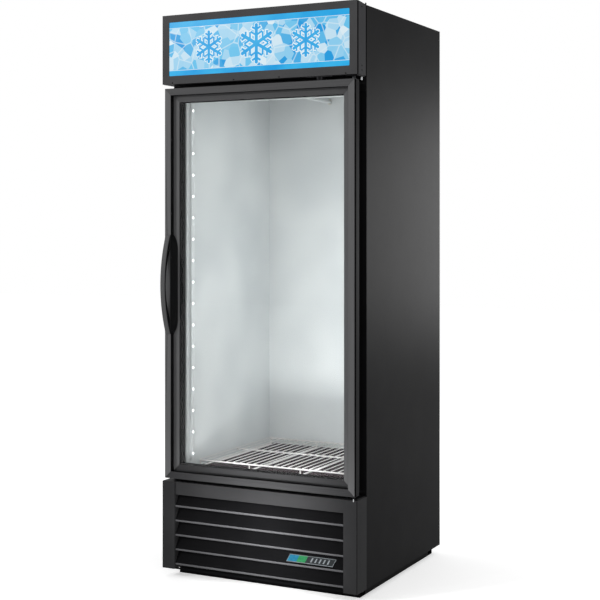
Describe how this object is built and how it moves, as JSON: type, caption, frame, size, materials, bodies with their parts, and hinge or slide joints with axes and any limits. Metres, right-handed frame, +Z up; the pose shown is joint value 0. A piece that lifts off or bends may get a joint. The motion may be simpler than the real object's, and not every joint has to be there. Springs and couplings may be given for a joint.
{
  "type": "ice merchandiser freezer",
  "caption": "Tall one-door glass-front ice merchandiser freezer with a lit sign box, swing door, floor rack, evaporator, condensing unit and louvred grille.",
  "frame": {"origin": "floor level, under the middle of the overall box", "axes": "+X right, +Y to the rear, +Z up; the door faces -Y"},
  "size_m": [0.762, 0.796, 1.997],
  "materials": {
    "black_coat": "satin",
    "grille_black": "satin",
    "frame_steel": "matte",
    "galvanised": "satin",
    "foam": "matte",
    "white_liner": "satin",
    "white_coat": "satin",
    "polished_floor": "gloss",
    "light_plastic": "matte",
    "sign_face": "gloss",
    "light_bar": "matte",
    "black_screw": "satin",
    "zinc_steel": "satin",
    "zinc_wire": "satin",
    "badge": "satin",
    "aluminium_fins": "satin",
    "aluminium_blade": "satin",
    "dark_motor": "matte",
    "compressor_black": "satin",
    "rubber": "matte",
    "copper": "satin",
    "dark_plastic": "matte",
    "white_wire": "gloss",
    "door_aluminium": "satin",
    "clear_glass": "gloss",
    "gasket_vinyl": "matte",
    "handle_plastic": "satin"
  },
  "bodies": {
    "cabinet": {"base_frame": "frame_steel", "side_panel_left": "black_coat", "side_panel_right": "black_coat", "back_panel": "galvanised", "top_panel": "black_coat", "rear_service_cover": "galvanised", "cross_panels": "black_coat", "foam_insulation": "foam", "cabin_liner": "white_liner", "cabin_floor": "polished_floor", "breaker_strips": "light_plastic", "header_box": "black_coat", "sign_bezel": "black_coat", "sign_panel": "sign_face", "led_bars": "light_bar", "cover_screws": "black_screw", "hinge_bracket_top": "zinc_steel", "hinge_bracket_bottom": "zinc_steel", "door_lock_housing": "dark_plastic", "front_posts": "black_coat", "louvre_grille": "grille_black", "badge_plate": "badge", "evap_housing": "white_coat", "evap_coil": "aluminium_fins", "evap_fan_motors": "dark_motor", "evap_fan_guards": "zinc_wire", "evap_drain_pan": "white_coat", "unit_tray": "zinc_steel", "compressor": "compressor_black", "compressor_grommets": "rubber", "condenser_coil": "aluminium_fins", "condenser_shroud": "galvanised", "condenser_fan_motor": "dark_motor", "refrigerant_lines": "copper", "control_box": "galvanised", "condensate_pan": "dark_plastic", "power_inlet_gland": "dark_plastic"},
    "leveller_front_left": {"leveller_front_left": "zinc_steel"},
    "leveller_front_right": {"leveller_front_right": "zinc_steel"},
    "leveller_rear_left": {"leveller_rear_left": "zinc_steel"},
    "leveller_rear_right": {"leveller_rear_right": "zinc_steel"},
    "evap_fan_left": {"evap_fan_left": "aluminium_blade"},
    "evap_fan_right": {"evap_fan_right": "aluminium_blade"},
    "condenser_fan": {"condenser_fan": "aluminium_blade"},
    "light_switch": {"light_switch": "dark_plastic"},
    "thermostat_knob": {"thermostat_knob": "light_plastic"},
    "door_lock_cam": {"door_lock_cam": "zinc_steel"},
    "floor_rack": {"floor_rack": "white_wire"},
    "door": {"door_stile_left": "door_aluminium", "door_stile_right": "door_aluminium", "door_rail_top": "door_aluminium", "door_rail_bottom": "door_aluminium", "door_inner_frame": "dark_plastic", "door_glass": "clear_glass", "glass_spacer": "dark_plastic", "door_gasket": "gasket_vinyl", "handle": "handle_plastic", "handle_screws": "zinc_steel", "hinge_bushings": "zinc_steel", "closer_rod": "zinc_steel"}
  },
  "joints": [
    {"name": "door_swing", "type": "hinge", "parent": "cabinet", "child": "door", "pos_m": [0.356, -0.333, 1.045], "axis": [0, 0, 1], "range_deg": [0, 120], "stiffness_Nm_per_rad": 2.5, "springref_deg": -20.05},
    {"name": "evap_fan_left_spin", "type": "hinge", "parent": "cabinet", "child": "evap_fan_left", "pos_m": [-0.138, -0.164, 1.849], "axis": [0, 1, 0], "continuous": true},
    {"name": "evap_fan_right_spin", "type": "hinge", "parent": "cabinet", "child": "evap_fan_right", "pos_m": [0.138, -0.164, 1.849], "axis": [0, 1, 0], "continuous": true},
    {"name": "condenser_fan_spin", "type": "hinge", "parent": "cabinet", "child": "condenser_fan", "pos_m": [0, -0.149, 0.158], "axis": [0, 1, 0], "continuous": true},
    {"name": "light_switch_rock", "type": "hinge", "parent": "cabinet", "child": "light_switch", "pos_m": [0.25, -0.179, 1.771], "axis": [1, 0, 0], "range_deg": [0, 16]},
    {"name": "thermostat_turn", "type": "hinge", "parent": "cabinet", "child": "thermostat_knob", "pos_m": [-0.25, -0.187, 1.771], "axis": [0, -1, 0], "range_deg": [0, 300]},
    {"name": "door_lock_turn", "type": "hinge", "parent": "cabinet", "child": "door_lock_cam", "pos_m": [0.24, -0.346, 1.7455], "axis": [0, 1, 0], "range_deg": [0, 90]},
    {"name": "rack_lift", "type": "slide", "parent": "cabinet", "child": "floor_rack", "axis": [0, 0, 1], "range_m": [0, 0.12]},
    {"name": "leveller_front_left_turn", "type": "hinge", "parent": "cabinet", "child": "leveller_front_left", "pos_m": [-0.336, -0.223, 0.01], "axis": [0, 0, 1], "continuous": true},
    {"name": "leveller_front_right_turn", "type": "hinge", "parent": "cabinet", "child": "leveller_front_right", "pos_m": [0.336, -0.223, 0.01], "axis": [0, 0, 1], "continuous": true},
    {"name": "leveller_rear_left_turn", "type": "hinge", "parent": "cabinet", "child": "leveller_rear_left", "pos_m": [-0.336, 0.316, 0.01], "axis": [0, 0, 1], "continuous": true},
    {"name": "leveller_rear_right_turn", "type": "hinge", "parent": "cabinet", "child": "leveller_rear_right", "pos_m": [0.336, 0.316, 0.01], "axis": [0, 0, 1], "continuous": true}
  ]
}
